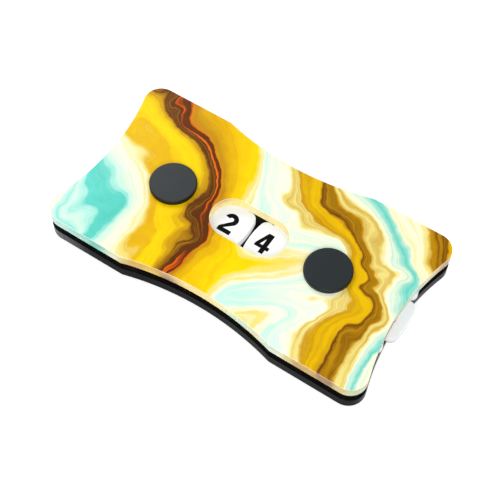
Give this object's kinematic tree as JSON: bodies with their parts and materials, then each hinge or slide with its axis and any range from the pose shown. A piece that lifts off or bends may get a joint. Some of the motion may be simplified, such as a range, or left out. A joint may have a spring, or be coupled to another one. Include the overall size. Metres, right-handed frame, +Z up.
{
  "type": "life counter",
  "caption": "Waisted flat life counter: lobed numeral dials turn on binding posts between a black base plate and a printed clear cover plate with a rounded reading window.",
  "frame": {"origin": "under the middle of the plates, on the surface that the screw heads rest on", "axes": "+Z up through the plates, +X along the line of the two dial posts, +Y towards the top of the numerals"},
  "size_m": [0.0896, 0.0482, 0.0113],
  "materials": {
    "black_acrylic": "gloss",
    "clear_acrylic": "polished clear",
    "print": "gloss ink on white primer",
    "white_acrylic": "gloss",
    "black_paint": "satin paint",
    "black_plastic": "satin moulded"
  },
  "bodies": {
    "frame": {"base_plate": "black_acrylic", "cover_plate": "clear_acrylic", "cover_print": "print", "left_binding_post": "black_plastic", "right_binding_post": "black_plastic", "left_binding_screw": "black_plastic", "right_binding_screw": "black_plastic"},
    "tens_wheel": {"tens_dial": "white_acrylic", "tens_numeral_0": "black_paint", "tens_numeral_1": "black_paint", "tens_numeral_2": "black_paint", "tens_numeral_3": "black_paint", "tens_numeral_4": "black_paint", "tens_numeral_5": "black_paint", "tens_numeral_6": "black_paint", "tens_numeral_7": "black_paint", "tens_numeral_8": "black_paint", "tens_numeral_9": "black_paint"},
    "units_wheel": {"units_dial": "white_acrylic", "units_numeral_0": "black_paint", "units_numeral_1": "black_paint", "units_numeral_2": "black_paint", "units_numeral_3": "black_paint", "units_numeral_4": "black_paint", "units_numeral_5": "black_paint", "units_numeral_6": "black_paint", "units_numeral_7": "black_paint", "units_numeral_8": "black_paint", "units_numeral_9": "black_paint"}
  },
  "joints": [
    {"name": "tens_wheel_spin", "type": "hinge", "parent": "frame", "child": "tens_wheel", "pos_m": [-0.0225, 0, 0], "axis": [0, 0, 1], "continuous": true},
    {"name": "units_wheel_spin", "type": "hinge", "parent": "frame", "child": "units_wheel", "pos_m": [0.0225, 0, 0], "axis": [0, 0, 1], "continuous": true}
  ]
}
